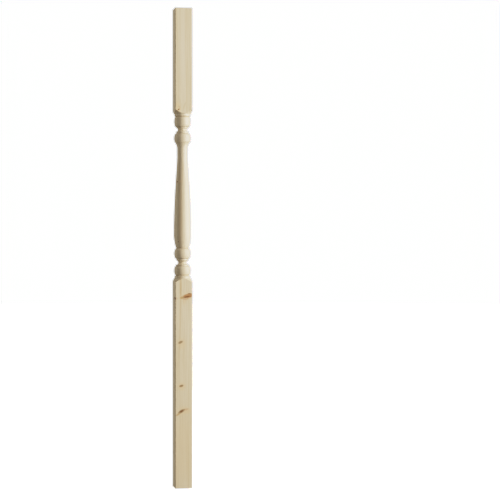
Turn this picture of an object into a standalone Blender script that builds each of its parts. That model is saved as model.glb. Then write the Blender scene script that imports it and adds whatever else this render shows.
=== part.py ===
"""Stair spindle: one length of pine with a square block at each end and a turned middle.

The spindle stands upright. The origin is the centre of its underside, +Z runs up it, and the
faces of its square blocks look along X and Y. All lengths are in metres.

It is made as a wood turner makes it: a planed square bar, and a lathe cut that takes away all
that lies outside a round outline. The outline is drawn from the foot to the head, and each of
its diameters is set by how deep the cut goes below the faces of the bar.
"""

import math

import bmesh
import bpy

# Planed bar, sawn square at both ends
SPINDLE_LENGTH = 0.900
BAR_WIDTH = 0.032
ARRIS_RADIUS = 0.002

# Square block at the head; the block at the foot takes what the turning leaves
HEAD_BLOCK_HEIGHT = 0.1906

# Shoulders between the blocks and the turning, slightly hollow
SHOULDER_HEIGHT = 0.0078
SHOULDER_HOLLOW = 0.0003

# Flat band next to each shoulder
BAND_CUT = 0.0011
FOOT_BAND_HEIGHT = 0.0034
HEAD_BAND_HEIGHT = 0.0030

# Narrow groove between a band and the rounded form beside it
FOOT_GROOVE_WIDTH = 0.0030
FOOT_GROOVE_CUT = 0.0034
HEAD_GROOVE_WIDTH = 0.0034
HEAD_GROOVE_CUT = 0.0030

# Urn above the foot block
URN_CUT = 0.0006
URN_LOWER_CUT = 0.0024
URN_UPPER_CUT = 0.0031
URN_LOWER_HEIGHT = 0.0078
URN_UPPER_HEIGHT = 0.0082

# Cove above the urn, between two fillets
FOOT_COVE_CUT = 0.0081
FOOT_COVE_EDGE_CUT = 0.0048
FOOT_COVE_HEIGHT = 0.0079
FOOT_COVE_LOWER_FILLET_CUT = 0.0038
FOOT_COVE_LOWER_FILLET_HEIGHT = 0.0029
FOOT_COVE_UPPER_FILLET_CUT = 0.0046
FOOT_COVE_UPPER_FILLET_HEIGHT = 0.0033

# Bead below the vase
BEAD_CUT = 0.00065
BEAD_LOWER_CUT = 0.0043
BEAD_UPPER_CUT = 0.0049
BEAD_LOWER_HEIGHT = 0.0097
BEAD_UPPER_HEIGHT = 0.0100

# Vase: a rounded base, a long taper and a straight neck that flares out under the ball
VASE_CUT = 0.0001
VASE_BASE_HEIGHT = 0.0240
VASE_TAPER_HEIGHT = 0.1496
VASE_TAPER_BELLY_REACH = 0.0760
VASE_TAPER_NECK_REACH = 0.0240
NECK_CUT = 0.0063
NECK_HEIGHT = 0.0128
NECK_FLARE_HEIGHT = 0.0131
NECK_FLARE_BEND = 0.0220

# Ball on the neck
BALL_CUT = 0.00045
BALL_UPPER_CUT = 0.0040
BALL_LOWER_HEIGHT = 0.0076
BALL_UPPER_HEIGHT = 0.0088

# Cove above the ball, between two fillets
HEAD_COVE_CUT = 0.0075
HEAD_COVE_EDGE_CUT = 0.0049
HEAD_COVE_HEIGHT = 0.0066
HEAD_COVE_LOWER_FILLET_CUT = 0.0044
HEAD_COVE_LOWER_FILLET_HEIGHT = 0.0036
HEAD_COVE_UPPER_FILLET_CUT = 0.0048
HEAD_COVE_UPPER_FILLET_HEIGHT = 0.0019

# Cup below the head block
CUP_CUT = 0.0007
CUP_LOWER_CUT = 0.0040
CUP_UPPER_CUT = 0.0017
CUP_LOWER_HEIGHT = 0.0098
CUP_UPPER_HEIGHT = 0.0076

# Fullness of the round forms: 2 is an ellipse, and less is nearer to a straight slope
ROUND_FULLNESS = 1.85
VASE_BASE_FULLNESS = 1.5
COVE_FULLNESS = 2.0

# How finely the curves are cut into facets
FACETS_ROUND = 48
ARRIS_STEPS = 4
SHOULDER_STEPS = 3
QUARTER_STEPS = 4
VASE_BASE_STEPS = 6
TAPER_STEPS = 10
FLARE_STEPS = 4
SMOOTH_ANGLE = math.radians(28)

# How far the lathe outline runs past the arrises and the sawn ends, where it cuts nothing
OUTLINE_CLEARANCE = 0.0008
END_CLEARANCE = 0.010

# Unvarnished pine
PINE_COLOR = (0.62, 0.49, 0.32, 1.0)
PINE_ROUGHNESS = 0.55


class Outline:
    """Half outline of the turning, drawn upwards as (radius, height) points."""

    def __init__(self, radius, height):
        self.points = [(radius, height)]

    def line(self, radius, rise):
        """Draw a straight line to a radius, this much higher."""
        height = self.points[-1][1]
        self.points.append((radius, height + rise))

    def hollow(self, radius, rise, depth, steps):
        """Draw a shallow arc to a radius, bowed in by a depth at its middle."""
        start_radius, start_height = self.points[-1]
        run = radius - start_radius
        chord = math.hypot(run, rise)
        for step in range(1, steps + 1):
            share = step / steps
            bow = 4.0 * depth * share * (1.0 - share)
            self.points.append((
                start_radius + run * share - bow * rise / chord,
                start_height + rise * share + bow * run / chord,
            ))

    def swell(self, radius, rise, steps, fullness=ROUND_FULLNESS):
        """Draw a quarter oval that leaves level and ends upright."""
        start_radius, start_height = self.points[-1]
        for step in range(1, steps + 1):
            angle = math.pi / 2.0 * step / steps
            across = math.sin(angle) ** (2.0 / fullness)
            up = 1.0 - max(math.cos(angle), 0.0) ** (2.0 / fullness)
            self.points.append((
                start_radius + (radius - start_radius) * across,
                start_height + rise * up,
            ))

    def turn_over(self, radius, rise, steps, fullness=ROUND_FULLNESS):
        """Draw a quarter oval that leaves upright and ends level."""
        start_radius, start_height = self.points[-1]
        for step in range(1, steps + 1):
            angle = math.pi / 2.0 * step / steps
            across = 1.0 - max(math.cos(angle), 0.0) ** (2.0 / fullness)
            up = math.sin(angle) ** (2.0 / fullness)
            self.points.append((
                start_radius + (radius - start_radius) * across,
                start_height + rise * up,
            ))

    def taper(self, radius, rise, lower_reach, upper_reach, steps):
        """Draw a smooth S that is upright at both ends, with a Bezier reach at each end."""
        start_radius, start_height = self.points[-1]
        for step in range(1, steps + 1):
            share = step / steps
            rest = 1.0 - share
            across = 3.0 * share**2 * rest + share**3
            up = (
                3.0 * share * rest**2 * lower_reach
                + 3.0 * share**2 * rest * (rise - upper_reach)
                + share**3 * rise
            )
            self.points.append((
                start_radius + (radius - start_radius) * across,
                start_height + up,
            ))

    def flare(self, rise, bend, steps):
        """Draw a circular arc that leaves upright and bends outwards."""
        start_radius, start_height = self.points[-1]
        end_angle = math.asin(min(rise / bend, 1.0))
        for step in range(1, steps + 1):
            angle = end_angle * step / steps
            self.points.append((
                start_radius + bend * (1.0 - math.cos(angle)),
                start_height + bend * math.sin(angle),
            ))

    def shift(self, rise):
        """Move every point up."""
        self.points = [(radius, height + rise) for radius, height in self.points]


def cut_radius(depth):
    """Return the radius that a cut leaves at this depth below the faces of the bar."""
    return BAR_WIDTH / 2.0 - depth


def arris_reach():
    """Return the distance from the axis to the rounded arrises of the bar."""
    return (BAR_WIDTH / 2.0 - ARRIS_RADIUS) * math.sqrt(2.0) + ARRIS_RADIUS


def draw_groove(outline, depth, width, end_cut):
    """Draw a narrow groove with sloping sides that ends at the given cut."""
    outline.line(cut_radius(depth), width / 2.0)
    outline.line(cut_radius(end_cut), width / 2.0)


def draw_fillet(outline, depth, height):
    """Draw a square step in or out to a short straight stretch."""
    outline.line(cut_radius(depth), 0.0)
    outline.line(cut_radius(depth), height)


def draw_cove(outline, edge_cut, depth, height):
    """Draw a round hollow with a small square step at its lower edge."""
    outline.line(cut_radius(edge_cut), 0.0)
    outline.swell(cut_radius(depth), height / 2.0, QUARTER_STEPS, COVE_FULLNESS)
    outline.turn_over(cut_radius(edge_cut), height / 2.0, QUARTER_STEPS, COVE_FULLNESS)


def draw_foot_turning(outline):
    """Draw the band, groove, urn, cove and fillets above the foot block."""
    outline.line(cut_radius(BAND_CUT), FOOT_BAND_HEIGHT)
    draw_groove(outline, FOOT_GROOVE_CUT, FOOT_GROOVE_WIDTH, URN_LOWER_CUT)
    outline.swell(cut_radius(URN_CUT), URN_LOWER_HEIGHT, QUARTER_STEPS)
    outline.turn_over(cut_radius(URN_UPPER_CUT), URN_UPPER_HEIGHT, QUARTER_STEPS)
    draw_fillet(outline, FOOT_COVE_LOWER_FILLET_CUT, FOOT_COVE_LOWER_FILLET_HEIGHT)
    draw_cove(outline, FOOT_COVE_EDGE_CUT, FOOT_COVE_CUT, FOOT_COVE_HEIGHT)
    draw_fillet(outline, FOOT_COVE_UPPER_FILLET_CUT, FOOT_COVE_UPPER_FILLET_HEIGHT)


def draw_bead(outline):
    """Draw the bead below the vase."""
    outline.line(cut_radius(BEAD_LOWER_CUT), 0.0)
    outline.swell(cut_radius(BEAD_CUT), BEAD_LOWER_HEIGHT, QUARTER_STEPS)
    outline.turn_over(cut_radius(BEAD_UPPER_CUT), BEAD_UPPER_HEIGHT, QUARTER_STEPS)


def draw_vase(outline):
    """Draw the vase, which meets the bead in a crease and ends in a flared neck."""
    outline.swell(cut_radius(VASE_CUT), VASE_BASE_HEIGHT, VASE_BASE_STEPS, VASE_BASE_FULLNESS)
    outline.taper(
        cut_radius(NECK_CUT),
        VASE_TAPER_HEIGHT,
        VASE_TAPER_BELLY_REACH,
        VASE_TAPER_NECK_REACH,
        TAPER_STEPS,
    )
    outline.line(cut_radius(NECK_CUT), NECK_HEIGHT)
    outline.flare(NECK_FLARE_HEIGHT, NECK_FLARE_BEND, FLARE_STEPS)


def draw_ball(outline):
    """Draw the ball, which starts where the flare of the neck ends."""
    outline.swell(cut_radius(BALL_CUT), BALL_LOWER_HEIGHT, QUARTER_STEPS)
    outline.turn_over(cut_radius(BALL_UPPER_CUT), BALL_UPPER_HEIGHT, QUARTER_STEPS)


def draw_head_turning(outline):
    """Draw the fillets, cove, cup, groove and band below the head block."""
    draw_fillet(outline, HEAD_COVE_LOWER_FILLET_CUT, HEAD_COVE_LOWER_FILLET_HEIGHT)
    draw_cove(outline, HEAD_COVE_EDGE_CUT, HEAD_COVE_CUT, HEAD_COVE_HEIGHT)
    draw_fillet(outline, HEAD_COVE_UPPER_FILLET_CUT, HEAD_COVE_UPPER_FILLET_HEIGHT)
    outline.line(cut_radius(CUP_LOWER_CUT), 0.0)
    outline.swell(cut_radius(CUP_CUT), CUP_LOWER_HEIGHT, QUARTER_STEPS)
    outline.turn_over(cut_radius(CUP_UPPER_CUT), CUP_UPPER_HEIGHT, QUARTER_STEPS)
    draw_groove(outline, HEAD_GROOVE_CUT, HEAD_GROOVE_WIDTH, BAND_CUT)
    outline.line(cut_radius(BAND_CUT), HEAD_BAND_HEIGHT)


def turning_outline():
    """Return the whole lathe outline, from below the sawn foot to above the sawn head."""
    outer_radius = arris_reach() + OUTLINE_CLEARANCE
    outline = Outline(outer_radius, 0.0)
    outline.hollow(cut_radius(BAND_CUT), SHOULDER_HEIGHT, SHOULDER_HOLLOW, SHOULDER_STEPS)
    draw_foot_turning(outline)
    draw_bead(outline)
    draw_vase(outline)
    draw_ball(outline)
    draw_head_turning(outline)
    outline.hollow(outer_radius, SHOULDER_HEIGHT, SHOULDER_HOLLOW, SHOULDER_STEPS)

    head_block_base = SPINDLE_LENGTH - HEAD_BLOCK_HEIGHT
    outline.shift(head_block_base - outline.points[-1][1])
    below_foot = (outer_radius, -END_CLEARANCE)
    above_head = (outer_radius, SPINDLE_LENGTH + END_CLEARANCE)
    return [below_foot, *outline.points, above_head]


def link_mesh(name, form):
    """Make an object of a bmesh form, put it in the scene and return it."""
    bmesh.ops.recalc_face_normals(form, faces=form.faces)
    mesh = bpy.data.meshes.new(name)
    form.to_mesh(mesh)
    form.free()
    item = bpy.data.objects.new(name, mesh)
    bpy.context.scene.collection.objects.link(item)
    return item


def make_bar(name):
    """Make the planed square bar with rounded arrises and square sawn ends."""
    form = bmesh.new()
    bmesh.ops.create_cube(form, size=1.0)
    bmesh.ops.scale(form, vec=(BAR_WIDTH, BAR_WIDTH, SPINDLE_LENGTH), verts=form.verts)
    bmesh.ops.translate(form, vec=(0.0, 0.0, SPINDLE_LENGTH / 2.0), verts=form.verts)
    arrises = [edge for edge in form.edges if is_upright(edge)]
    bmesh.ops.bevel(
        form,
        geom=arrises,
        offset=ARRIS_RADIUS,
        offset_type="OFFSET",
        segments=ARRIS_STEPS,
        profile=0.5,
        affect="EDGES",
        material=-1,
    )
    return link_mesh(name, form)


def is_upright(edge):
    """Tell whether an edge runs along Z."""
    lower, upper = (vertex.co for vertex in edge.verts)
    return abs(upper.z - lower.z) > abs(upper.x - lower.x) + abs(upper.y - lower.y)


def make_turning(name):
    """Make the round form that the lathe leaves, by spinning the outline about Z."""
    form = bmesh.new()
    vertices = [form.verts.new((radius, 0.0, height)) for radius, height in turning_outline()]
    edges = [form.edges.new(pair) for pair in zip(vertices, vertices[1:])]
    bmesh.ops.spin(
        form,
        geom=vertices + edges,
        cent=(0.0, 0.0, 0.0),
        axis=(0.0, 0.0, 1.0),
        angle=2.0 * math.pi,
        steps=FACETS_ROUND,
        use_merge=True,
    )
    open_ends = [edge for edge in form.edges if edge.is_boundary]
    bmesh.ops.holes_fill(form, edges=open_ends, sides=0)
    return link_mesh(name, form)


def keep_common_form(item, cutter):
    """Cut the item down to what lies inside the cutter too, and remove the cutter."""
    cutter.hide_render = True
    cutter.display_type = "WIRE"
    cut = item.modifiers.new("lathe cut", "BOOLEAN")
    cut.operation = "INTERSECT"
    cut.solver = "EXACT"
    cut.object = cutter
    dependencies = bpy.context.evaluated_depsgraph_get()
    whole_mesh = item.data
    item.data = bpy.data.meshes.new_from_object(item.evaluated_get(dependencies))
    item.data.name = item.name
    item.modifiers.clear()
    cutter_mesh = cutter.data
    bpy.data.objects.remove(cutter)
    bpy.data.meshes.remove(whole_mesh)
    bpy.data.meshes.remove(cutter_mesh)


def pine():
    """Make the material of bare, planed and turned pine."""
    material = bpy.data.materials.new("pine")
    material.use_nodes = True
    shader = material.node_tree.nodes["Principled BSDF"]
    shader.inputs["Base Color"].default_value = PINE_COLOR
    shader.inputs["Roughness"].default_value = PINE_ROUGHNESS
    shader.inputs["Metallic"].default_value = 0.0
    material.diffuse_color = PINE_COLOR
    return material


def make_spindle():
    """Make the spindle: the bar, cut round between its blocks."""
    spindle = make_bar("spindle")
    turning = make_turning("turning")
    keep_common_form(spindle, turning)
    spindle.data.shade_smooth()
    spindle.data.set_sharp_from_angle(angle=SMOOTH_ANGLE)
    spindle.data.materials.clear()
    spindle.data.materials.append(pine())
    return spindle


def clear_scene():
    """Remove every object that the file starts with."""
    for item in list(bpy.data.objects):
        bpy.data.objects.remove(item)


clear_scene()
make_spindle()
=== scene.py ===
"""Stair spindle dressed in its finish: bare pine, planed on the square blocks and turned between them.

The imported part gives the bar's width and length. The spindle is modelled again over it with fine
curves, as the bar and the lathe leave it, and the pine is worked out through the whole stick:
growth rings round a pith outside the bar, fibres along it, and knots where branches were. All
lengths are in metres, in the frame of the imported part.
"""

from __future__ import annotations

import logging
import math
import sys
from dataclasses import dataclass
from enum import Enum

import bmesh
import bpy
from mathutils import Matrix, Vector

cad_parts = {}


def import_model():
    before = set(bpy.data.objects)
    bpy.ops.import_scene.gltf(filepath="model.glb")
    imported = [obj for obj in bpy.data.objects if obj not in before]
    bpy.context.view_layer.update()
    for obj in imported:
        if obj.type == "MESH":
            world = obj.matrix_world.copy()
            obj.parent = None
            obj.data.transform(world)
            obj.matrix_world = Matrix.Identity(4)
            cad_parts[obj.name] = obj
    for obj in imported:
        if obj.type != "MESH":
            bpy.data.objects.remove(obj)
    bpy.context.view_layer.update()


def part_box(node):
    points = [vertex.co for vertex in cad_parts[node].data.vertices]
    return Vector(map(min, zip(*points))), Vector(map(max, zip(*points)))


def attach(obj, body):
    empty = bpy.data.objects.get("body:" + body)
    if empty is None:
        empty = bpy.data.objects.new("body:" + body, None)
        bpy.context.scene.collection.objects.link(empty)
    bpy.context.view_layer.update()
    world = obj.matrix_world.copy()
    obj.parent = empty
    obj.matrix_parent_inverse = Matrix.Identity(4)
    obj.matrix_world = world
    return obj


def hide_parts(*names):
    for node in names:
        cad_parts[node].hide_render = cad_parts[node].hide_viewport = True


LOG = logging.getLogger("spindle")

NODE = "spindle"
BODY = "root"

Triple = tuple[float, float, float]
Point = tuple[float, float]


class Crease(Enum):
    """How far two faces must turn from each other for the edge between them to stay crisp."""

    TURNED = math.radians(32)
    OUTLINE = math.radians(24)
    QUIRK = math.radians(50)


class Outline:
    """Half outline of the turning, drawn upwards as (radius, height) points."""

    def __init__(self, face: float, radius: float) -> None:
        """Start the outline.

        Args:
            face: Distance from the axis to the planed faces of the bar.
            radius: Radius of the first point, at height 0.
        """
        self.face = face
        self.points: list[Point] = [(radius, 0.0)]

    def line(self, cut: float, rise: float) -> None:
        """Draw a straight line to a cut below the faces of the bar, this much higher."""
        self.points.append((self.face - cut, self.points[-1][1] + rise))

    def hollow(self, radius: float, rise: float, depth: float, steps: int) -> None:
        """Draw a shallow arc.

        Args:
            radius: Radius where the arc ends.
            rise: How much higher it ends.
            depth: How far it is bowed in at its middle.
            steps: Number of straight stretches.
        """
        start_radius, start_height = self.points[-1]
        run = radius - start_radius
        chord = math.hypot(run, rise)
        for step in range(1, steps + 1):
            share = step / steps
            bow = 4.0 * depth * share * (1.0 - share)
            self.points.append((
                start_radius + run * share - bow * rise / chord,
                start_height + rise * share + bow * run / chord,
            ))

    def swell(self, cut: float, rise: float, steps: int, fullness: float) -> None:
        """Draw a quarter oval that leaves level and ends upright."""
        self.quarter(cut, rise, steps, fullness, upright_first=False)

    def turn_over(self, cut: float, rise: float, steps: int, fullness: float) -> None:
        """Draw a quarter oval that leaves upright and ends level."""
        self.quarter(cut, rise, steps, fullness, upright_first=True)

    def quarter(
        self, cut: float, rise: float, steps: int, fullness: float, upright_first: bool
    ) -> None:
        """Draw a quarter oval of either kind.

        Args:
            cut: Cut below the faces of the bar where it ends.
            rise: How much higher it ends.
            steps: Number of straight stretches.
            fullness: 2 is an ellipse, and less is nearer to a straight slope.
            upright_first: Whether it leaves upright, and so ends level.
        """
        start_radius, start_height = self.points[-1]
        run = self.face - cut - start_radius
        for step in range(1, steps + 1):
            angle = math.pi / 2.0 * step / steps
            rising = math.sin(angle) ** (2.0 / fullness)
            easing = 1.0 - max(math.cos(angle), 0.0) ** (2.0 / fullness)
            across, up = (easing, rising) if upright_first else (rising, easing)
            self.points.append((start_radius + run * across, start_height + rise * up))

    def taper(self, cut: float, rise: float, reaches: Point, steps: int) -> None:
        """Draw a smooth S that is upright at both ends.

        Args:
            cut: Cut below the faces of the bar where it ends.
            rise: How much higher it ends.
            reaches: How far the S follows its lower and its upper end.
            steps: Number of straight stretches.
        """
        start_radius, start_height = self.points[-1]
        run = self.face - cut - start_radius
        for step in range(1, steps + 1):
            share = step / steps
            rest = 1.0 - share
            across = 3.0 * share**2 * rest + share**3
            up = (
                3.0 * share * rest**2 * reaches[0]
                + 3.0 * share**2 * rest * (rise - reaches[1])
                + share**3 * rise
            )
            self.points.append((start_radius + run * across, start_height + up))

    def flare(self, rise: float, bend: float, steps: int) -> None:
        """Draw a circular arc that leaves upright and bends outwards.

        Args:
            rise: How much higher it ends.
            bend: Radius of the arc.
            steps: Number of straight stretches.
        """
        start_radius, start_height = self.points[-1]
        end_angle = math.asin(min(rise / bend, 1.0))
        for step in range(1, steps + 1):
            angle = end_angle * step / steps
            self.points.append((
                start_radius + bend * (1.0 - math.cos(angle)),
                start_height + bend * math.sin(angle),
            ))

    def shifted(self, rise: float) -> list[Point]:
        """Return the points, moved up."""
        return [(radius, height + rise) for radius, height in self.points]


@dataclass(frozen=True)
class Swelling:
    """Rounded form of the turning, such as an urn, a bead, a ball or a cup."""

    widest_cut: float
    upper_cut: float
    lower_height: float
    upper_height: float
    lower_cut: float | None = None
    fullness: float = 1.85
    steps: int = 12

    def draw(self, outline: Outline) -> None:
        """Draw the form upwards, from a step to its lower cut if it has one."""
        if self.lower_cut is not None:
            outline.line(self.lower_cut, 0.0)
        outline.swell(self.widest_cut, self.lower_height, self.steps, self.fullness)
        outline.turn_over(self.upper_cut, self.upper_height, self.steps, self.fullness)


@dataclass(frozen=True)
class Fillet:
    """Short straight stretch with a square step beside it."""

    cut: float
    height: float

    def draw(self, outline: Outline) -> None:
        """Draw the step and the straight stretch."""
        outline.line(self.cut, 0.0)
        outline.line(self.cut, self.height)


@dataclass(frozen=True)
class Cove:
    """Round hollow between two fillets."""

    lower_fillet: Fillet
    upper_fillet: Fillet
    edge_cut: float
    deepest_cut: float
    height: float
    fullness: float = 2.0
    steps: int = 12

    def draw(self, outline: Outline) -> None:
        """Draw the lower fillet, the hollow and the upper fillet."""
        half_height = self.height / 2.0
        self.lower_fillet.draw(outline)
        outline.line(self.edge_cut, 0.0)
        outline.swell(self.deepest_cut, half_height, self.steps, self.fullness)
        outline.turn_over(self.edge_cut, half_height, self.steps, self.fullness)
        self.upper_fillet.draw(outline)


@dataclass(frozen=True)
class Vase:
    """Long vase: a rounded base, a taper, a straight neck, and a flare under the ball."""

    widest_cut: float = 0.0001
    base_height: float = 0.0240
    base_fullness: float = 1.5
    taper_height: float = 0.1496
    belly_reach: float = 0.0760
    neck_reach: float = 0.0240
    neck_cut: float = 0.0063
    neck_height: float = 0.0128
    flare_height: float = 0.0131
    flare_bend: float = 0.0220
    base_steps: int = 16
    taper_steps: int = 40
    flare_steps: int = 10

    def draw(self, outline: Outline) -> None:
        """Draw the vase from its crease on the bead to the top of the flare."""
        outline.swell(self.widest_cut, self.base_height, self.base_steps, self.base_fullness)
        reaches = (self.belly_reach, self.neck_reach)
        outline.taper(self.neck_cut, self.taper_height, reaches, self.taper_steps)
        outline.line(self.neck_cut, self.neck_height)
        outline.flare(self.flare_height, self.flare_bend, self.flare_steps)


@dataclass(frozen=True)
class Shoulder:
    """Slightly hollow slope from a square block in to the turning, with its band and groove."""

    height: float = 0.0078
    hollow: float = 0.0003
    band_cut: float = 0.0011
    band_height: float = 0.0034
    groove_cut: float = 0.0034
    groove_width: float = 0.0030
    groove_edge_cut: float = 0.0024
    steps: int = 10

    def draw_up(self, outline: Outline) -> None:
        """Draw it upwards from the foot block: shoulder, band, groove."""
        radius = outline.face - self.band_cut
        outline.hollow(radius, self.height, self.hollow, self.steps)
        outline.line(self.band_cut, self.band_height)
        outline.line(self.groove_cut, self.groove_width / 2.0)
        outline.line(self.groove_edge_cut, self.groove_width / 2.0)

    def draw_to_block(self, outline: Outline, outer_radius: float) -> None:
        """Draw it upwards to the head block: groove, band, shoulder."""
        outline.line(self.groove_cut, self.groove_width / 2.0)
        outline.line(self.band_cut, self.groove_width / 2.0)
        outline.line(self.band_cut, self.band_height)
        outline.hollow(outer_radius, self.height, self.hollow, self.steps)


@dataclass(frozen=True)
class SquareBar:
    """Planed square bar with rounded arrises and eased sawn ends."""

    width: float
    length: float
    arris_radius: float = 0.0010
    end_easing: float = 0.0004
    arris_steps: int = 8
    easing_steps: int = 2

    @property
    def face(self) -> float:
        """Distance from the axis to the planed faces."""
        return self.width / 2.0

    @property
    def arris_reach(self) -> float:
        """Distance from the axis to the rounded arrises."""
        return (self.face - self.arris_radius) * math.sqrt(2.0) + self.arris_radius

    def make(self) -> bpy.types.Object:
        """Make the bar's mesh, with its foot on the origin."""
        form = bmesh.new()
        bmesh.ops.create_cube(form, size=1.0)
        bmesh.ops.scale(form, vec=(self.width, self.width, self.length), verts=form.verts)
        bmesh.ops.translate(form, vec=(0.0, 0.0, self.length / 2.0), verts=form.verts)
        self.ease(form, self.arris_radius, self.arris_steps, upright=True)
        self.ease(form, self.end_easing, self.easing_steps, upright=False)
        return link_mesh("bar", form)

    @staticmethod
    def ease(form: bmesh.types.BMesh, offset: float, steps: int, upright: bool) -> None:
        """Round off the arrises of the bar, or the edges of its sawn ends.

        Args:
            form: Mesh of the bar.
            offset: Radius of the rounding.
            steps: Number of faces across it.
            upright: Whether it rounds the arrises, which run up the bar.
        """
        edges = [e for e in form.edges if (e.verts[0].co.z != e.verts[1].co.z) == upright]
        bmesh.ops.bevel(
            form,
            geom=edges,
            offset=offset,
            offset_type="OFFSET",
            segments=steps,
            profile=0.5,
            affect="EDGES",
            material=-1,
        )


@dataclass(frozen=True)
class Turning:
    """What the lathe leaves between the two blocks, from the foot to the head."""

    head_block_height: float = 0.1906
    foot_shoulder: Shoulder = Shoulder()
    urn: Swelling = Swelling(
        lower_cut=0.0024,
        widest_cut=0.0006,
        upper_cut=0.0031,
        lower_height=0.0078,
        upper_height=0.0082,
    )
    foot_cove: Cove = Cove(
        lower_fillet=Fillet(cut=0.0038, height=0.0029),
        upper_fillet=Fillet(cut=0.0046, height=0.0033),
        edge_cut=0.0048,
        deepest_cut=0.0081,
        height=0.0079,
    )
    bead: Swelling = Swelling(
        lower_cut=0.0043,
        widest_cut=0.00065,
        upper_cut=0.0049,
        lower_height=0.0097,
        upper_height=0.0100,
    )
    vase: Vase = Vase()
    ball: Swelling = Swelling(
        widest_cut=0.00045,
        upper_cut=0.0040,
        lower_height=0.0076,
        upper_height=0.0088,
    )
    head_cove: Cove = Cove(
        lower_fillet=Fillet(cut=0.0044, height=0.0036),
        upper_fillet=Fillet(cut=0.0048, height=0.0019),
        edge_cut=0.0049,
        deepest_cut=0.0075,
        height=0.0066,
    )
    cup: Swelling = Swelling(
        lower_cut=0.0040,
        widest_cut=0.0007,
        upper_cut=0.0017,
        lower_height=0.0098,
        upper_height=0.0079,
    )
    head_shoulder: Shoulder = Shoulder(band_height=0.0033, groove_cut=0.0030, groove_width=0.0028)
    clearance: float = 0.0004
    end_clearance: float = 0.010
    corner_easing: float = 0.00025
    corner_steps: int = 3
    facets: int = 144
    same_point: float = 1e-7

    def outline(self, bar: SquareBar) -> list[Point]:
        """Draw the whole outline.

        Args:
            bar: The bar that is turned.

        Returns:
            Points from below the sawn foot to above the sawn head.
        """
        outer_radius = bar.arris_reach + self.clearance
        outline = Outline(bar.face, outer_radius)
        self.foot_shoulder.draw_up(outline)
        self.urn.draw(outline)
        self.foot_cove.draw(outline)
        self.bead.draw(outline)
        self.vase.draw(outline)
        self.ball.draw(outline)
        self.head_cove.draw(outline)
        self.cup.draw(outline)
        self.head_shoulder.draw_to_block(outline, outer_radius)
        head_block_base = bar.length - self.head_block_height
        points = outline.shifted(head_block_base - outline.points[-1][1])
        below_foot = (outer_radius, -self.end_clearance)
        above_head = (outer_radius, bar.length + self.end_clearance)
        return [below_foot, *points, above_head]

    def span(self, bar: SquareBar) -> Point:
        """Return the heights between which the lathe cuts the bar."""
        heights = [height for _, height in self.outline(bar)[1:-1]]
        return heights[0], heights[-1]

    def quirks(self, bar: SquareBar) -> tuple[float, ...]:
        """Return the heights of the sharp inward corners, which the finish darkens with painted shade.
        """
        points = list(dict.fromkeys(self.outline(bar)[1:-1]))
        corners = zip(points, points[1:], points[2:])
        return tuple(
            corner[1]
            for before, corner, after in corners
            if -turn_at(before, corner, after) > Crease.QUIRK.value
        )

    def make(self, bar: SquareBar) -> bpy.types.Object:
        """Make the round form by spinning the outline about Z.

        Args:
            bar: The bar that is turned.

        Returns:
            The form, closed at both ends.
        """
        form = bmesh.new()
        points = self.outline(bar)
        vertices = [form.verts.new((radius, 0.0, height)) for radius, height in points]
        for pair in zip(vertices, vertices[1:]):
            form.edges.new(pair)
        bmesh.ops.remove_doubles(form, verts=form.verts, dist=self.same_point)
        self.ease_corners(form)
        bmesh.ops.spin(
            form,
            geom=list(form.verts) + list(form.edges),
            cent=(0.0, 0.0, 0.0),
            axis=(0.0, 0.0, 1.0),
            angle=2.0 * math.pi,
            steps=self.facets,
            use_merge=True,
        )
        open_ends = [edge for edge in form.edges if edge.is_boundary]
        bmesh.ops.holes_fill(form, edges=open_ends, sides=0)
        return link_mesh("turning", form)

    def ease_corners(self, form: bmesh.types.BMesh) -> None:
        """Round the outline's corners that stand out, as sandpaper leaves them."""
        corners = [vertex for vertex in form.verts if stands_out(vertex)]
        bmesh.ops.bevel(
            form,
            geom=corners,
            offset=self.corner_easing,
            offset_type="OFFSET",
            segments=self.corner_steps,
            profile=0.5,
            affect="VERTICES",
            clamp_overlap=True,
            material=-1,
        )


def stands_out(vertex: bmesh.types.BMVert) -> bool:
    """Tell whether the outline has a corner here that points away from the axis.

    Args:
        vertex: A vertex of the outline, which lies in the XZ plane.

    Returns:
        True for a corner sharper than a smooth curve has.
    """
    if len(vertex.link_edges) != 2:
        return False
    ends = [edge.other_vert(vertex).co for edge in vertex.link_edges]
    places = sorted(ends, key=lambda place: (place.z, -place.x))
    before, corner, after = ((place.x, place.z) for place in (places[0], vertex.co, places[1]))
    return turn_at(before, corner, after) > Crease.OUTLINE.value


def turn_at(before: Point, corner: Point, after: Point) -> float:
    """Return the angle by which an outline turns at a corner.

    Args:
        before: The point before the corner, as (radius, height).
        corner: The corner.
        after: The point after it.

    Returns:
        The angle, above 0 for a corner that points away from the axis.
    """
    arrives_out, arrives_up = corner[0] - before[0], corner[1] - before[1]
    leaves_out, leaves_up = after[0] - corner[0], after[1] - corner[1]
    across = arrives_out * leaves_up - arrives_up * leaves_out
    along = arrives_out * leaves_out + arrives_up * leaves_up
    return math.atan2(across, along)


def link_mesh(name: str, form: bmesh.types.BMesh) -> bpy.types.Object:
    """Make an object of a form, put it in the scene and free the form.

    Args:
        name: Name of the object and of its mesh.
        form: The form, whose faces are turned outwards first.

    Returns:
        The new object.
    """
    bmesh.ops.recalc_face_normals(form, faces=form.faces)
    mesh = bpy.data.meshes.new(name)
    form.to_mesh(mesh)
    form.free()
    item = bpy.data.objects.new(name, mesh)
    bpy.context.scene.collection.objects.link(item)
    return item


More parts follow.
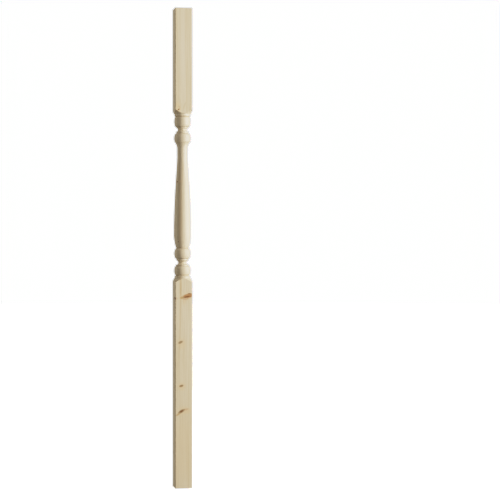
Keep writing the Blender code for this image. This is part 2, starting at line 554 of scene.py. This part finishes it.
def common_form(item: bpy.types.Object, cutter: bpy.types.Object, name: str) -> bpy.types.Object:
    """Make the form that two objects share, and remove them both.

    Args:
        item: The object that is cut.
        cutter: The object outside which all is cut away.
        name: Name of the new object.

    Returns:
        The new object.
    """
    cut = item.modifiers.new("lathe cut", "BOOLEAN")
    cut.operation = "INTERSECT"
    cut.solver = "EXACT"
    cut.object = cutter
    dependencies = bpy.context.evaluated_depsgraph_get()
    mesh = bpy.data.meshes.new_from_object(item.evaluated_get(dependencies))
    mesh.name = name
    for spent in (item, cutter):
        spent_mesh = spent.data
        bpy.data.objects.remove(spent)
        bpy.data.meshes.remove(spent_mesh)
    made = bpy.data.objects.new(name, mesh)
    bpy.context.scene.collection.objects.link(made)
    return made


class Value:
    """Number that varies over a surface, with Python's operators for its shader maths."""

    def __init__(self, kit: NodeKit, socket: bpy.types.NodeSocket) -> None:
        """Wrap a node's output."""
        self.kit = kit
        self.socket = socket

    def math(self, operation: str, *others: Value | float) -> Value:
        """Add a Math node that reads this value first."""
        inputs = dict(enumerate((self, *others)))
        node = self.kit.add("ShaderNodeMath", {"operation": operation}, inputs)
        return Value(self.kit, node.outputs[0])

    def __add__(self, other: Value | float) -> Value:
        """Add."""
        return self.math("ADD", other)

    __radd__ = __add__

    def __sub__(self, other: Value | float) -> Value:
        """Subtract."""
        return self.math("SUBTRACT", other)

    def __rsub__(self, other: Value | float) -> Value:
        """Subtract this value from a number."""
        return self.math("MULTIPLY", -1.0).math("ADD", other)

    def __mul__(self, other: Value | float) -> Value:
        """Multiply."""
        return self.math("MULTIPLY", other)

    __rmul__ = __mul__

    def __truediv__(self, other: Value | float) -> Value:
        """Divide."""
        return self.math("DIVIDE", other)

    def __pow__(self, other: Value | float) -> Value:
        """Raise to a power."""
        return self.math("POWER", other)

    def size(self) -> Value:
        """Return the value without its sign."""
        return self.math("ABSOLUTE")

    def highest(self, other: Value | float) -> Value:
        """Return the larger of two values."""
        return self.math("MAXIMUM", other)

    def lowest(self, other: Value | float) -> Value:
        """Return the smaller of two values."""
        return self.math("MINIMUM", other)

    def between(self, low: float, high: float) -> Value:
        """Rise smoothly from 0 at low to 1 at high, or fall if low is above high."""
        first, last = min(low, high), max(low, high)
        node = self.kit.add(
            "ShaderNodeMapRange",
            {"interpolation_type": "SMOOTHSTEP"},
            {"Value": self, "From Min": first, "From Max": last},
        )
        rising = Value(self.kit, node.outputs["Result"])
        return rising if low < high else 1.0 - rising


class NodeKit:
    """Adds nodes to one node tree."""

    def __init__(self, tree: bpy.types.NodeTree) -> None:
        """Keep the tree, and empty it."""
        self.tree = tree
        tree.nodes.clear()

    def add(
        self,
        kind: str,
        settings: dict[str, object] | None = None,
        inputs: dict[int | str, object] | None = None,
    ) -> bpy.types.Node:
        """Add a node.

        Args:
            kind: The node's type.
            settings: Properties of the node, which are set first.
            inputs: A value or a link for each socket, by its name or number.

        Returns:
            The node.
        """
        node = self.tree.nodes.new(kind)
        for name, setting in (settings or {}).items():
            setattr(node, name, setting)
        for key, value in (inputs or {}).items():
            self.feed(node.inputs[key], value)
        return node

    def feed(self, socket: bpy.types.NodeSocket, value: object) -> None:
        """Link a socket to a value, or set it to a number or colour."""
        if isinstance(value, Value):
            value = value.socket
        if isinstance(value, bpy.types.NodeSocket):
            self.tree.links.new(value, socket)
        else:
            socket.default_value = value

    def output(self, node: bpy.types.Node, name: str | int = 0) -> Value:
        """Wrap one output of a node."""
        return Value(self, node.outputs[name])

    def mix(self, factor: Value | float, first: object, second: object) -> bpy.types.NodeSocket:
        """Mix two colours by a factor from 0, the first, to 1, the second."""
        node = self.add(
            "ShaderNodeMix",
            {"data_type": "RGBA", "clamp_factor": True},
            {0: factor, 6: first, 7: second},
        )
        return node.outputs[2]


@dataclass(frozen=True)
class Grain:
    """Grain of a noise: its size along each axis, its finer layers and how much they count."""

    size: Triple
    layers: float = 2.0
    fineness: float = 0.5


class Places:
    """Places in the wood, as a vector that varies over the surface."""

    def __init__(self, kit: NodeKit, socket: bpy.types.NodeSocket) -> None:
        """Wrap a node's output."""
        self.kit = kit
        self.socket = socket

    def measured(
        self,
        reach: Triple,
        centre: Triple = (0.0, 0.0, 0.0),
        turn: Triple = (0.0, 0.0, 0.0),
    ) -> Places:
        """Measure the places from a centre, along turned axes, in shares of a reach.

        Args:
            reach: Distance along each axis where the result is 1.
            centre: Where the result is 0.
            turn: How the axes are turned, as Euler angles.

        Returns:
            The places as measured.
        """
        node = self.kit.add(
            "ShaderNodeMapping",
            {"vector_type": "TEXTURE"},
            {"Vector": self.socket, "Location": centre, "Rotation": turn, "Scale": reach},
        )
        return Places(self.kit, node.outputs["Vector"])

    def length(self) -> Value:
        """Return the distance from where the places are measured."""
        node = self.kit.add("ShaderNodeVectorMath", {"operation": "LENGTH"}, {0: self.socket})
        return self.kit.output(node, "Value")

    def axes(self) -> list[Value]:
        """Return x, y and z."""
        parts = self.kit.add("ShaderNodeSeparateXYZ", None, {0: self.socket})
        return [self.kit.output(parts, name) for name in "XYZ"]

    def noise(self, grain: Grain) -> Value:
        """Return noise between 0 and 1, mostly near 0.5."""
        inputs = {
            "Vector": self.measured(grain.size).socket,
            "Scale": 1.0,
            "Detail": grain.layers,
            "Roughness": grain.fineness,
        }
        node = self.kit.add("ShaderNodeTexNoise", {"noise_dimensions": "3D"}, inputs)
        return self.kit.output(node, "Fac")

    def swing(self, grain: Grain) -> Value:
        """Return noise between -0.5 and 0.5, mostly near 0."""
        return self.noise(grain) - 0.5


class Tone(Enum):
    """Colours of pine, as the share of red, green and blue light that it sends back, and one painted
    shade for the creases.
    """

    EARLY_WOOD = (0.79, 0.660, 0.465, 1.0)
    LATE_WOOD = (0.61, 0.470, 0.275, 1.0)
    END_GRAIN = (0.50, 0.375, 0.215, 1.0)
    PALE_WOOD = (0.82, 0.705, 0.530, 1.0)
    RESIN = (0.76, 0.565, 0.335, 1.0)
    OCHRE = (0.52, 0.335, 0.140, 1.0)
    KNOT_WOOD = (0.365, 0.260, 0.140, 1.0)
    BRANCH = (0.455, 0.225, 0.085, 1.0)
    # Not a colour of pine: painted shade for the creases of the turning
    PAINTED_CREASE_SHADE = (0.40, 0.315, 0.205, 1.0)
    BROWN = (0.33, 0.190, 0.080, 1.0)
    BARK = (0.21, 0.090, 0.028, 1.0)


@dataclass(frozen=True)
class Stain:
    """Patch of another colour in the wood, or of painted shade: an oval lump with soft, frayed edges.
    """

    centre: Triple
    reach: Triple
    tone: Tone
    strength: float = 1.0
    rise: float = 0.0
    edge: float = 0.55
    ragged: float = 0.5

    def mask(self, places: Places, raggedness: Value) -> Value:
        """Work out how strong the patch is at each place.

        Args:
            places: Places in the spindle.
            raggedness: Noise round 0 that frays the edge.

        Returns:
            The patch's strength, from 0 outside it.
        """
        turn = (0.0, -self.rise, 0.0)
        away = places.measured(self.reach, self.centre, turn).length()
        frayed = away + raggedness * self.ragged
        return frayed.between(1.0 + self.edge, 1.0 - self.edge) * self.strength


@dataclass(frozen=True)
class Knot:
    """Foot of a branch, cut through: its wood, its darker heart and the stained wood round it."""

    centre: Triple
    reach: Triple
    rise: float
    wood: Tone = Tone.KNOT_WOOD
    heart: Tone = Tone.BARK
    wood_strength: float = 0.95
    heart_share: float = 0.55
    heart_strength: float = 0.8
    halo_strength: float = 0.5
    halo_reach: float = 0.0035
    wood_edge: float = 0.18
    heart_edge: float = 0.35
    push: float = 0.0011
    push_spread: float = 1.5

    @property
    def turn(self) -> Triple:
        """How the knot lies, as Euler angles."""
        return (0.0, -self.rise, 0.0)

    def stains(self) -> list[Stain]:
        """Return the knot's patches, the widest first."""
        halo = tuple(size + self.halo_reach for size in self.reach)
        heart = tuple(size * self.heart_share for size in self.reach)
        return [
            Stain(self.centre, halo, Tone.RESIN, self.halo_strength, self.rise),
            Stain(
                self.centre, self.reach, self.wood, self.wood_strength, self.rise, self.wood_edge
            ),
            Stain(self.centre, heart, self.heart, self.heart_strength, self.rise, self.heart_edge),
        ]

    def share(self, places: Places) -> Value:
        """Return 1 in the knot and 0 outside it."""
        away = places.measured(self.reach, self.centre, self.turn).length()
        return away.between(1.0 + self.wood_edge, 1.0 - self.wood_edge)

    def shove(self, places: Places) -> Value:
        """Work out how far the knot pushes the growth rings aside at each place."""
        spread = tuple(size * self.push_spread + self.halo_reach for size in self.reach)
        away = places.measured(spread, self.centre, self.turn).length()
        return (-1.0 * away * away).math("EXPONENT") * self.push


FRONT = -0.016

KNOTS = (
    # The big knot at the top of the foot block, which runs out through the right arris
    Knot(
        centre=(0.0105, FRONT, 0.3609),
        reach=(0.0125, 0.0065, 0.0038),
        rise=math.radians(8),
        wood=Tone.BRANCH,
        heart_strength=0.0,
        push=0.0018,
    ),
    # Two oval knots and a larger one further down the foot block
    Knot(
        centre=(-0.0063, FRONT, 0.2737),
        reach=(0.0046, 0.0080, 0.0024),
        rise=math.radians(26),
        heart=Tone.BROWN,
        heart_strength=0.35,
        wood_edge=0.38,
    ),
    Knot(
        centre=(-0.0048, FRONT, 0.1921),
        reach=(0.0042, 0.0060, 0.0022),
        rise=math.radians(18),
        heart=Tone.BROWN,
    ),
    Knot(
        centre=(-0.0046, FRONT, 0.1445),
        reach=(0.0072, 0.0090, 0.0029),
        rise=math.radians(30),
        heart_strength=0.9,
        halo_strength=0.6,
    ),
    # A pin knot at the bottom of the head block
    Knot(
        centre=(-0.0098, FRONT, 0.7094),
        reach=(0.0020, 0.0030, 0.0010),
        rise=math.radians(38),
        wood=Tone.BARK,
        halo_strength=0.7,
        halo_reach=0.0030,
    ),
    # A pin knot on the vase, and one near its base
    Knot(
        centre=(-0.01065, -0.00615, 0.5744),
        reach=(0.0018, 0.0018, 0.0013),
        rise=0.0,
        wood=Tone.BROWN,
    ),
    Knot(
        centre=(-0.00997, -0.01107, 0.4618),
        reach=(0.0010, 0.0010, 0.0010),
        rise=0.0,
        wood=Tone.BARK,
        halo_strength=0.2,
    ),
)

TINTS_AND_PAINTED_SHADE = (
    # Pale, greyer wood up the middle of the head block, and darker wood beside its lower end
    Stain((-0.0015, FRONT, 0.8100), (0.0042, 0.012, 0.0900), Tone.PALE_WOOD, 0.50, edge=0.8),
    Stain((0.0012, FRONT, 0.7165), (0.0016, 0.005, 0.0080), Tone.LATE_WOOD, 0.45, rise=-0.32),
    Stain((-0.0075, FRONT, 0.7250), (0.0014, 0.005, 0.0090), Tone.LATE_WOOD, 0.25, rise=0.25),
    # Resin beside the pin knot of the head block, with a dark fibre, and below the big knot
    Stain((-0.0115, FRONT, 0.7145), (0.0050, 0.005, 0.0085), Tone.RESIN, 0.85),
    Stain((-0.0085, FRONT, 0.7142), (0.0007, 0.004, 0.0026), Tone.BROWN, 0.45, rise=0.6),
    Stain((0.0008, FRONT, 0.3490), (0.0034, 0.004, 0.0060), Tone.RESIN, 0.55, edge=0.7),
    # Resin round the oval knots of the foot block
    Stain((-0.0040, FRONT, 0.2690), (0.0070, 0.005, 0.0080), Tone.RESIN, 0.50),
    Stain((-0.0040, FRONT, 0.1900), (0.0060, 0.005, 0.0060), Tone.RESIN, 0.60),
    Stain((0.0050, FRONT, 0.1455), (0.0095, 0.005, 0.0055), Tone.RESIN, 0.75),
    # Warmer wood low on the foot block
    Stain((0.0, FRONT, 0.0760), (0.0300, 0.0200, 0.0600), Tone.RESIN, 0.35),
    # Tan streaks down the foot block, and paler wood across its upper part; the streak above the big
    # knot runs on up the shoulder and urn, partly a tan streak and partly painted shade along the edge
    # of their shaded side
    Stain((-0.0071, FRONT, 0.3150), (0.0015, 0.005, 0.0720), Tone.OCHRE, 0.42, rise=-0.024),
    # Partly a tan streak, partly painted shade where the shoulder and urn turn into shade
    Stain((-0.0058, FRONT, 0.3790), (0.0016, 0.005, 0.0200), Tone.OCHRE, 0.50, edge=0.5),
    Stain((0.0000, FRONT, 0.3130), (0.0150, 0.012, 0.0330), Tone.PALE_WOOD, 0.18, edge=0.7),
    Stain((-0.0082, FRONT, 0.2100), (0.0009, 0.005, 0.0600), Tone.OCHRE, 0.25, rise=0.015),
    # Two broad rings on the left face of each block, a dark one beside the front arris and a pale one
    Stain((-0.0160, -0.0105, 0.8050), (0.0020, 0.0056, 0.1500), Tone.LATE_WOOD, 0.95, edge=0.2),
    Stain((-0.0160, -0.0105, 0.1750), (0.0020, 0.0056, 0.2300), Tone.LATE_WOOD, 0.95, edge=0.2),
    Stain((-0.0160, 0.0055, 0.8050), (0.0020, 0.0105, 0.1500), Tone.PALE_WOOD, 0.95, edge=0.2),
    Stain((-0.0160, 0.0055, 0.1750), (0.0020, 0.0105, 0.2300), Tone.PALE_WOOD, 0.95, edge=0.2),
    # Painted shade down the shaded left of the vase, which ends in a crisp edge
    Stain((-0.0066, -0.0130, 0.5300), (0.0028, 0.020, 0.0900), Tone.OCHRE, 0.30, edge=0.2),
    # Pale tan patch on the vase
    Stain((-0.0054, -0.0111, 0.5752), (0.0022, 0.003, 0.0022), Tone.RESIN, 0.6),
)

MARKS = (
    # Light brown wood under the big knot, with two reddish fibres below it
    Stain((0.0034, FRONT, 0.3553), (0.0064, 0.003, 0.0021), Tone.BRANCH, 0.50, rise=0.05),
    Stain((0.0037, FRONT, 0.3515), (0.0007, 0.003, 0.0036), Tone.BRANCH, 0.25),
    Stain((-0.0002, FRONT, 0.3510), (0.0007, 0.003, 0.0040), Tone.BRANCH, 0.20),
    # Ochre tip, dark line and dark top of the big knot
    Stain((-0.0036, FRONT, 0.3572), (0.0037, 0.003, 0.0021), Tone.OCHRE, 0.95, rise=0.28),
    Stain((0.0057, FRONT, 0.3587), (0.0066, 0.004, 0.0012), Tone.BARK, 1.0, rise=0.22),
    Stain((0.0104, FRONT, 0.3647), (0.0026, 0.003, 0.0009), Tone.BARK, 0.9, rise=0.07),
    # Bark on the front left arris, level with the big knot, and brown wood beside and below it
    Stain((-0.0160, -0.0112, 0.3560), (0.0016, 0.0066, 0.0025), Tone.BARK, 1.0),
    Stain((-0.0143, FRONT, 0.3555), (0.0036, 0.0020, 0.0021), Tone.BRANCH, 0.24),
    Stain((-0.0160, -0.0115, 0.3460), (0.0016, 0.0058, 0.0110), Tone.BROWN, 0.36),
    # Torn grain at the tip of the shoulder on the front right arris
    Stain((0.0152, -0.0150, 0.7076), (0.0018, 0.003, 0.0012), Tone.BROWN, 0.9, rise=0.8),
    # Brown tails of the larger oval knot
    Stain((0.0042, FRONT, 0.1478), (0.0045, 0.004, 0.0018), Tone.BRANCH, 0.35, rise=0.2),
    Stain((-0.0108, FRONT, 0.1388), (0.0050, 0.004, 0.0016), Tone.OCHRE, 0.75, rise=0.5),
)


# Size of a grain that is too long for the noise to vary along its axis
LEVEL = 1e6


@dataclass(frozen=True)
class GrowthRings:
    """Growth rings round a pith outside the bar, as the noise of the tree leaves them."""

    pith: Point = (0.036, 0.006)
    pith_lean: Point = (-0.005, 0.003)
    pith_wander: float = 0.002
    wander_grain: Grain = Grain((LEVEL, LEVEL, 0.33), layers=1.0)
    sway_grain: Grain = Grain((LEVEL, LEVEL, 0.21), layers=1.0)
    width: float = 0.0018
    uneven_depth: float = 0.0012
    uneven_width: float = 0.0040
    ripple_depth: float = 0.0022
    ripple_grain: Grain = Grain((0.008, 0.008, 0.130), layers=3.0)
    late_start: float = 0.35
    late_end: float = 0.90

    def late_wood(self, places: Places, knots: tuple[Knot, ...]) -> Value:
        """Work out the dark late wood at the outside of each ring.

        Args:
            places: Places in the spindle.
            knots: Knots that push the rings aside.

        Returns:
            The share of late wood at each place.
        """
        wander = places.swing(self.wander_grain) * self.pith_wander
        sway = places.swing(self.sway_grain) * self.pith_wander
        x, y, z = places.axes()
        out_x = x - self.pith[0] - wander - z * self.pith_lean[0]
        out_y = y - self.pith[1] - sway - z * self.pith_lean[1]
        from_pith = (out_x * out_x + out_y * out_y) ** 0.5
        from_pith = from_pith + places.swing(self.ripple_grain) * self.ripple_depth
        for knot in knots:
            from_pith = from_pith + knot.shove(places)
        swing = (from_pith / self.uneven_width).math("SINE")
        ring = ((from_pith + self.uneven_depth * swing) / self.width).math("FRACT")
        return ring.between(self.late_start, self.late_end) * ring.between(1.0, self.late_end)


@dataclass(frozen=True)
class Wood:
    """What the finish is worked out from at each place.

    The fibres are noise round 0 along the wood, and sawn is the share of sawn end grain.
    """

    places: Places
    late_wood: Value
    fibres: Value
    sawn: Value


@dataclass(frozen=True)
class PineFinish:
    """Bare pine: growth rings, fibres, knots, and the marks of plane, lathe and saw, with shade
    painted into the creases of the turning and onto the shaded side of the shoulder, urn and vase.
    """

    bar: SquareBar
    turned_span: Point
    quirks: tuple[float, ...]
    rings: GrowthRings = GrowthRings()
    knots: tuple[Knot, ...] = KNOTS
    tints_and_painted_shade: tuple[Stain, ...] = TINTS_AND_PAINTED_SHADE
    marks: tuple[Stain, ...] = MARKS
    # Width and strength of the shade painted into the creases of the turning
    crease_shade_width: float = 0.0007
    crease_shade_strength: float = 0.65
    base_darkness: float = 0.19
    ring_contrast: float = 0.42
    streak_contrast: float = 1.6
    fibre_contrast: float = 0.9
    end_darkness: float = 0.55
    end_ring_contrast: float = 0.4
    slow_grain: Grain = Grain((0.020, 0.020, 0.160))
    streak_grain: Grain = Grain((0.0026, 0.0026, 0.160), layers=3.0, fineness=0.6)
    fibre_grain: Grain = Grain((0.00045, 0.00045, 0.030), layers=3.0, fineness=0.6)
    frayed_grain: Grain = Grain((0.0016, 0.0016, 0.0030), layers=3.0, fineness=0.6)
    lathe_grain: Grain = Grain((0.10, 0.10, 0.00040))
    saw_grain: Grain = Grain((0.0007, 0.05, 0.05))
    roughness: float = 0.52
    fibre_roughness: float = 0.10
    sawn_roughness: float = 0.25
    late_wood_gloss: float = 0.08
    knot_gloss: float = 0.12
    relief_height: float = 0.00012
    fibre_relief: float = 0.5
    ring_relief: float = 0.12
    lathe_relief: float = 0.25
    saw_relief: float = 0.8
    blend: float = 0.0003

    def make(self) -> bpy.types.Material:
        """Make the material."""
        material = bpy.data.materials.new("pine")
        material.use_nodes = True
        kit = NodeKit(material.node_tree)
        places = Places(kit, kit.add("ShaderNodeTexCoord").outputs["Object"])
        wood = Wood(
            places=places,
            late_wood=self.rings.late_wood(places, self.knots),
            fibres=places.swing(self.fibre_grain),
            sawn=self.sawn(places),
        )
        bump = kit.add(
            "ShaderNodeBump",
            None,
            {"Strength": 1.0, "Distance": self.relief_height, "Height": self.relief(wood)},
        )
        shader = kit.add(
            "ShaderNodeBsdfPrincipled",
            None,
            {
                "Base Color": self.colour(wood),
                "Roughness": self.dullness(wood),
                "Normal": bump.outputs["Normal"],
            },
        )
        kit.add("ShaderNodeOutputMaterial", None, {"Surface": shader.outputs["BSDF"]})
        return material

    def turned(self, places: Places) -> Value:
        """Return 1 where the lathe cut the surface and 0 on the planed faces."""
        x, y, z = places.axes()
        low, high = self.turned_span
        within = z.between(low, low + self.blend) * z.between(high, high - self.blend)
        face = self.bar.face
        return within * x.size().highest(y.size()).between(face, face - self.blend)

    def sawn(self, places: Places) -> Value:
        """Return 1 on the sawn ends and 0 elsewhere."""
        half = self.bar.length / 2.0
        from_middle = (places.axes()[-1] - half).size()
        return from_middle.between(half - self.blend, half)

    def dullness(self, wood: Wood) -> Value:
        """Work out the roughness: late wood and knots are glossier, end grain is duller.

        Args:
            wood: What the finish is worked out from.

        Returns:
            The roughness at each place.
        """
        knotty = self.knots[0].share(wood.places)
        for knot in self.knots[1:]:
            knotty = knotty.highest(knot.share(wood.places))
        dull = self.roughness + self.fibre_roughness * wood.fibres
        dull = dull + self.sawn_roughness * wood.sawn
        return dull - self.late_wood_gloss * wood.late_wood - self.knot_gloss * knotty

    def colour(self, wood: Wood) -> bpy.types.NodeSocket:
        """Work out the colour of the wood, with the shade painted into the creases and onto the shaded
        side of the turning.

        Args:
            wood: What the finish is worked out from.

        Returns:
            The colour at each place.
        """
        places = wood.places
        kit = places.kit
        rings = wood.late_wood * self.ring_contrast * (1.0 + places.swing(self.slow_grain))
        streaks = places.swing(self.streak_grain)
        dark = self.base_darkness + rings + streaks * self.streak_contrast
        dark = dark + wood.fibres * self.fibre_contrast
        colour = kit.mix(dark, Tone.EARLY_WOOD.value, Tone.LATE_WOOD.value)
        raggedness = places.swing(self.frayed_grain)
        knots = [stain for knot in self.knots for stain in knot.stains()]
        # The tints hold painted shade down the left of the vase and on the shoulder and urn above the
        # big knot
        for stain in (*self.tints_and_painted_shade, *knots, *self.marks):
            colour = kit.mix(stain.mask(places, raggedness), colour, stain.tone.value)
        # Painted shade in the creases of the turning
        colour = kit.mix(self.painted_crease_shade(places), colour, Tone.PAINTED_CREASE_SHADE.value)
        ends = wood.sawn * (self.end_darkness + self.end_ring_contrast * wood.late_wood)
        return kit.mix(ends, colour, Tone.END_GRAIN.value)

    def painted_crease_shade(self, places: Places) -> Value:
        """Return how strong the painted shade is in the creases of the turning, and 0 outside them."""
        height = places.axes()[-1]
        nearest = (height - self.quirks[0]).size()
        for quirk in self.quirks[1:]:
            nearest = nearest.lowest((height - quirk).size())
        return nearest.between(self.crease_shade_width, 0.0) * self.crease_shade_strength

    def relief(self, wood: Wood) -> Value:
        """Work out the fine relief that the tools and the grain leave.

        Args:
            wood: What the finish is worked out from.

        Returns:
            Height of the surface, as a share of the greatest relief.
        """
        places = wood.places
        lathe_marks = self.turned(places) * places.noise(self.lathe_grain)
        saw_marks = wood.sawn * places.noise(self.saw_grain)
        grain = self.fibre_relief * wood.fibres + self.ring_relief * wood.late_wood
        return grain + self.lathe_relief * lathe_marks + self.saw_relief * saw_marks


@dataclass(frozen=True)
class Spindle:
    """The whole spindle: the bar, turned between its blocks, in its finish."""

    bar: SquareBar
    turning: Turning = Turning()
    same_corner: float = 1e-6
    flat_face_weight: int = 100

    def build(self) -> bpy.types.Object:
        """Make the spindle, dress it, and let it stand for its solid."""
        item = common_form(self.bar.make(), self.turning.make(self.bar), "spindle_pine")
        self.tidy(item)
        item.data.shade_smooth()
        item.data.set_sharp_from_angle(angle=Crease.TURNED.value)
        flat_faces = item.modifiers.new("true to the flat faces", "WEIGHTED_NORMAL")
        flat_faces.mode = "FACE_AREA"
        flat_faces.weight = self.flat_face_weight
        flat_faces.keep_sharp = True
        self.dress(item)
        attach(item, BODY)
        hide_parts(NODE)
        return item

    def tidy(self, item: bpy.types.Object) -> None:
        """Merge what the cut left doubled."""
        form = bmesh.new()
        form.from_mesh(item.data)
        bmesh.ops.remove_doubles(form, verts=form.verts, dist=self.same_corner)
        bmesh.ops.recalc_face_normals(form, faces=form.faces)
        form.to_mesh(item.data)
        form.free()

    def dress(self, item: bpy.types.Object) -> None:
        """Put the pine on the spindle."""
        turning = self.turning
        finish = PineFinish(self.bar, turning.span(self.bar), turning.quirks(self.bar))
        item.data.materials.clear()
        item.data.materials.append(finish.make())


@dataclass(frozen=True)
class Panel:
    """Soft light: an upright panel that faces the spindle."""

    name: str
    bearing: float
    distance: float
    height: float
    width: float
    tall: float
    watts: float
    colour: Triple = (1.0, 1.0, 1.0)

    def make(self, aim: Vector) -> bpy.types.Object:
        """Make the light.

        Args:
            aim: The point that it faces.

        Returns:
            The light.
        """
        light = bpy.data.lights.new(self.name, "AREA")
        light.shape = "RECTANGLE"
        light.size = self.width
        light.size_y = self.tall
        light.energy = self.watts
        light.color = self.colour
        item = bpy.data.objects.new(self.name, light)
        item.location = towards(self.bearing, self.distance, self.height)
        item.rotation_euler = (aim - item.location).to_track_quat("-Z", "Y").to_euler()
        item.visible_camera = False
        bpy.context.scene.collection.objects.link(item)
        return item


def towards(bearing: float, distance: float, height: float) -> Vector:
    """Return a point at a bearing from the spindle: 0 is in front, and it grows to the right."""
    return Vector((math.sin(bearing) * distance, -math.cos(bearing) * distance, height))


@dataclass(frozen=True)
class Studio:
    """White studio: floor, surroundings, soft lights and camera."""

    spindle_length: float
    camera_bearing: float = math.radians(-10.2)
    camera_distance: float = 2.603
    camera_height: float = 0.4464
    camera_swing: float = math.radians(2.806)
    lens: float = 99.4
    floor_radius: float = 9.0
    floor_segments: int = 64
    floor_drop: float = 0.0003
    floor_tone: Triple = (0.55, 0.55, 0.54)
    surroundings: Triple = (0.26, 0.250, 0.226)
    white: float = 1.90
    film_step: float = 0.20
    film_tones: tuple[float, ...] = (
        0.160, 0.322, 0.472, 0.588, 0.672, 0.735, 0.778, 0.812, 0.834
    )

    def build(self) -> None:
        """Make all of it."""
        self.make_floor()
        self.make_surroundings()
        aim = Vector((0.0, 0.0, self.spindle_length / 2.0))
        for panel in self.panels():
            panel.make(aim)
            LOG.info("light %s", panel.name)
        self.make_camera()
        self.set_film()

    def panels(self) -> list[Panel]:
        """Return the lights: a tall one at the right, a dim wide one at the left, a glow behind."""
        middle = self.spindle_length / 2.0
        return [
            Panel(
                name="key panel",
                bearing=self.camera_bearing + math.radians(69.5),
                distance=1.9,
                height=middle + 0.20,
                width=1.0,
                tall=1.8,
                watts=97.0,
                colour=(1.0, 0.984, 0.958),
            ),
            Panel(
                name="fill panel",
                bearing=self.camera_bearing - math.radians(98),
                distance=1.9,
                height=middle + 0.5,
                width=2.0,
                tall=2.0,
                watts=14.0,
                colour=(1.0, 0.965, 0.84),
            ),
            Panel(
                name="backdrop glow",
                bearing=self.camera_bearing + math.radians(180),
                distance=1.8,
                height=middle,
                width=3.2,
                tall=2.4,
                watts=7.0,
            ),
        ]

    def make_floor(self) -> None:
        """Make the pale floor, which looks white and throws no light back on the spindle."""
        form = bmesh.new()
        radius, segments = self.floor_radius, self.floor_segments
        bmesh.ops.create_circle(form, cap_ends=True, radius=radius, segments=segments)
        bmesh.ops.translate(form, vec=(0.0, 0.0, -self.floor_drop), verts=form.verts)
        floor = link_mesh("floor", form)
        material = bpy.data.materials.new("white floor")
        material.use_nodes = True
        kit = NodeKit(material.node_tree)
        shader = kit.add(
            "ShaderNodeBsdfPrincipled",
            None,
            {
                "Base Color": (*self.floor_tone, 1.0),
                "Roughness": 0.9,
                "Specular IOR Level": 0.0,
                "Emission Color": self.seen_white(kit, (0.0, 0.0, 0.0)),
                "Emission Strength": 1.0,
            },
        )
        kit.add("ShaderNodeOutputMaterial", None, {"Surface": shader.outputs["BSDF"]})
        floor.data.materials.append(material)
        floor.visible_diffuse = False

    def make_surroundings(self) -> None:
        """Make the surroundings: white to the camera, and a dim warm fill for the spindle."""
        world = bpy.data.worlds.new("white studio")
        world.use_nodes = True
        kit = NodeKit(world.node_tree)
        colour = self.seen_white(kit, self.surroundings)
        glow = kit.add("ShaderNodeBackground", None, {"Color": colour, "Strength": 1.0})
        kit.add("ShaderNodeOutputWorld", None, {"Surface": glow.outputs["Background"]})
        bpy.context.scene.world = world

    def seen_white(self, kit: NodeKit, otherwise: Triple) -> bpy.types.NodeSocket:
        """Return white where the camera looks straight at it, and a colour for all other light."""
        seen = kit.output(kit.add("ShaderNodeLightPath"), "Is Camera Ray")
        return kit.mix(seen, (*otherwise, 1.0), (self.white, self.white, self.white, 1.0))

    def make_camera(self) -> None:
        """Make the camera, level, swung to the right of the spindle."""
        data = bpy.data.cameras.new("camera")
        data.lens = self.lens
        data.sensor_width = 36.0
        camera = bpy.data.objects.new("camera", data)
        camera.location = towards(self.camera_bearing, self.camera_distance, self.camera_height)
        heading = self.camera_bearing - self.camera_swing
        camera.rotation_euler = (math.pi / 2.0, 0.0, heading)
        bpy.context.scene.collection.objects.link(camera)
        bpy.context.scene.camera = camera

    def set_film(self) -> None:
        """Give the picture a soft shoulder, so that the lit side stays off white."""
        view = bpy.context.scene.view_settings
        view.view_transform = "Standard"
        view.look = "None"
        view.use_curve_mapping = True
        mapping = view.curve_mapping
        mapping.white_level = (self.white, self.white, self.white)
        all_colours = mapping.curves[-1]
        for step, tone in enumerate(self.film_tones, 1):
            all_colours.points.new(step * self.film_step / self.white, tone)
        for point in list(all_colours.points)[-2:]:
            point.handle_type = "VECTOR"
        mapping.update()


def main() -> None:
    """Build the spindle and the studio."""
    logging.basicConfig(level=logging.INFO, format="%(message)s", stream=sys.stdout)
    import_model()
    low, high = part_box(NODE)
    bar = SquareBar(width=high.x - low.x, length=high.z - low.z)
    item = Spindle(bar).build()
    item.data.calc_loop_triangles()
    LOG.info("%s: %d triangles", item.name, len(item.data.loop_triangles))
    Studio(spindle_length=bar.length).build()


if __name__ == "__main__":
    main()
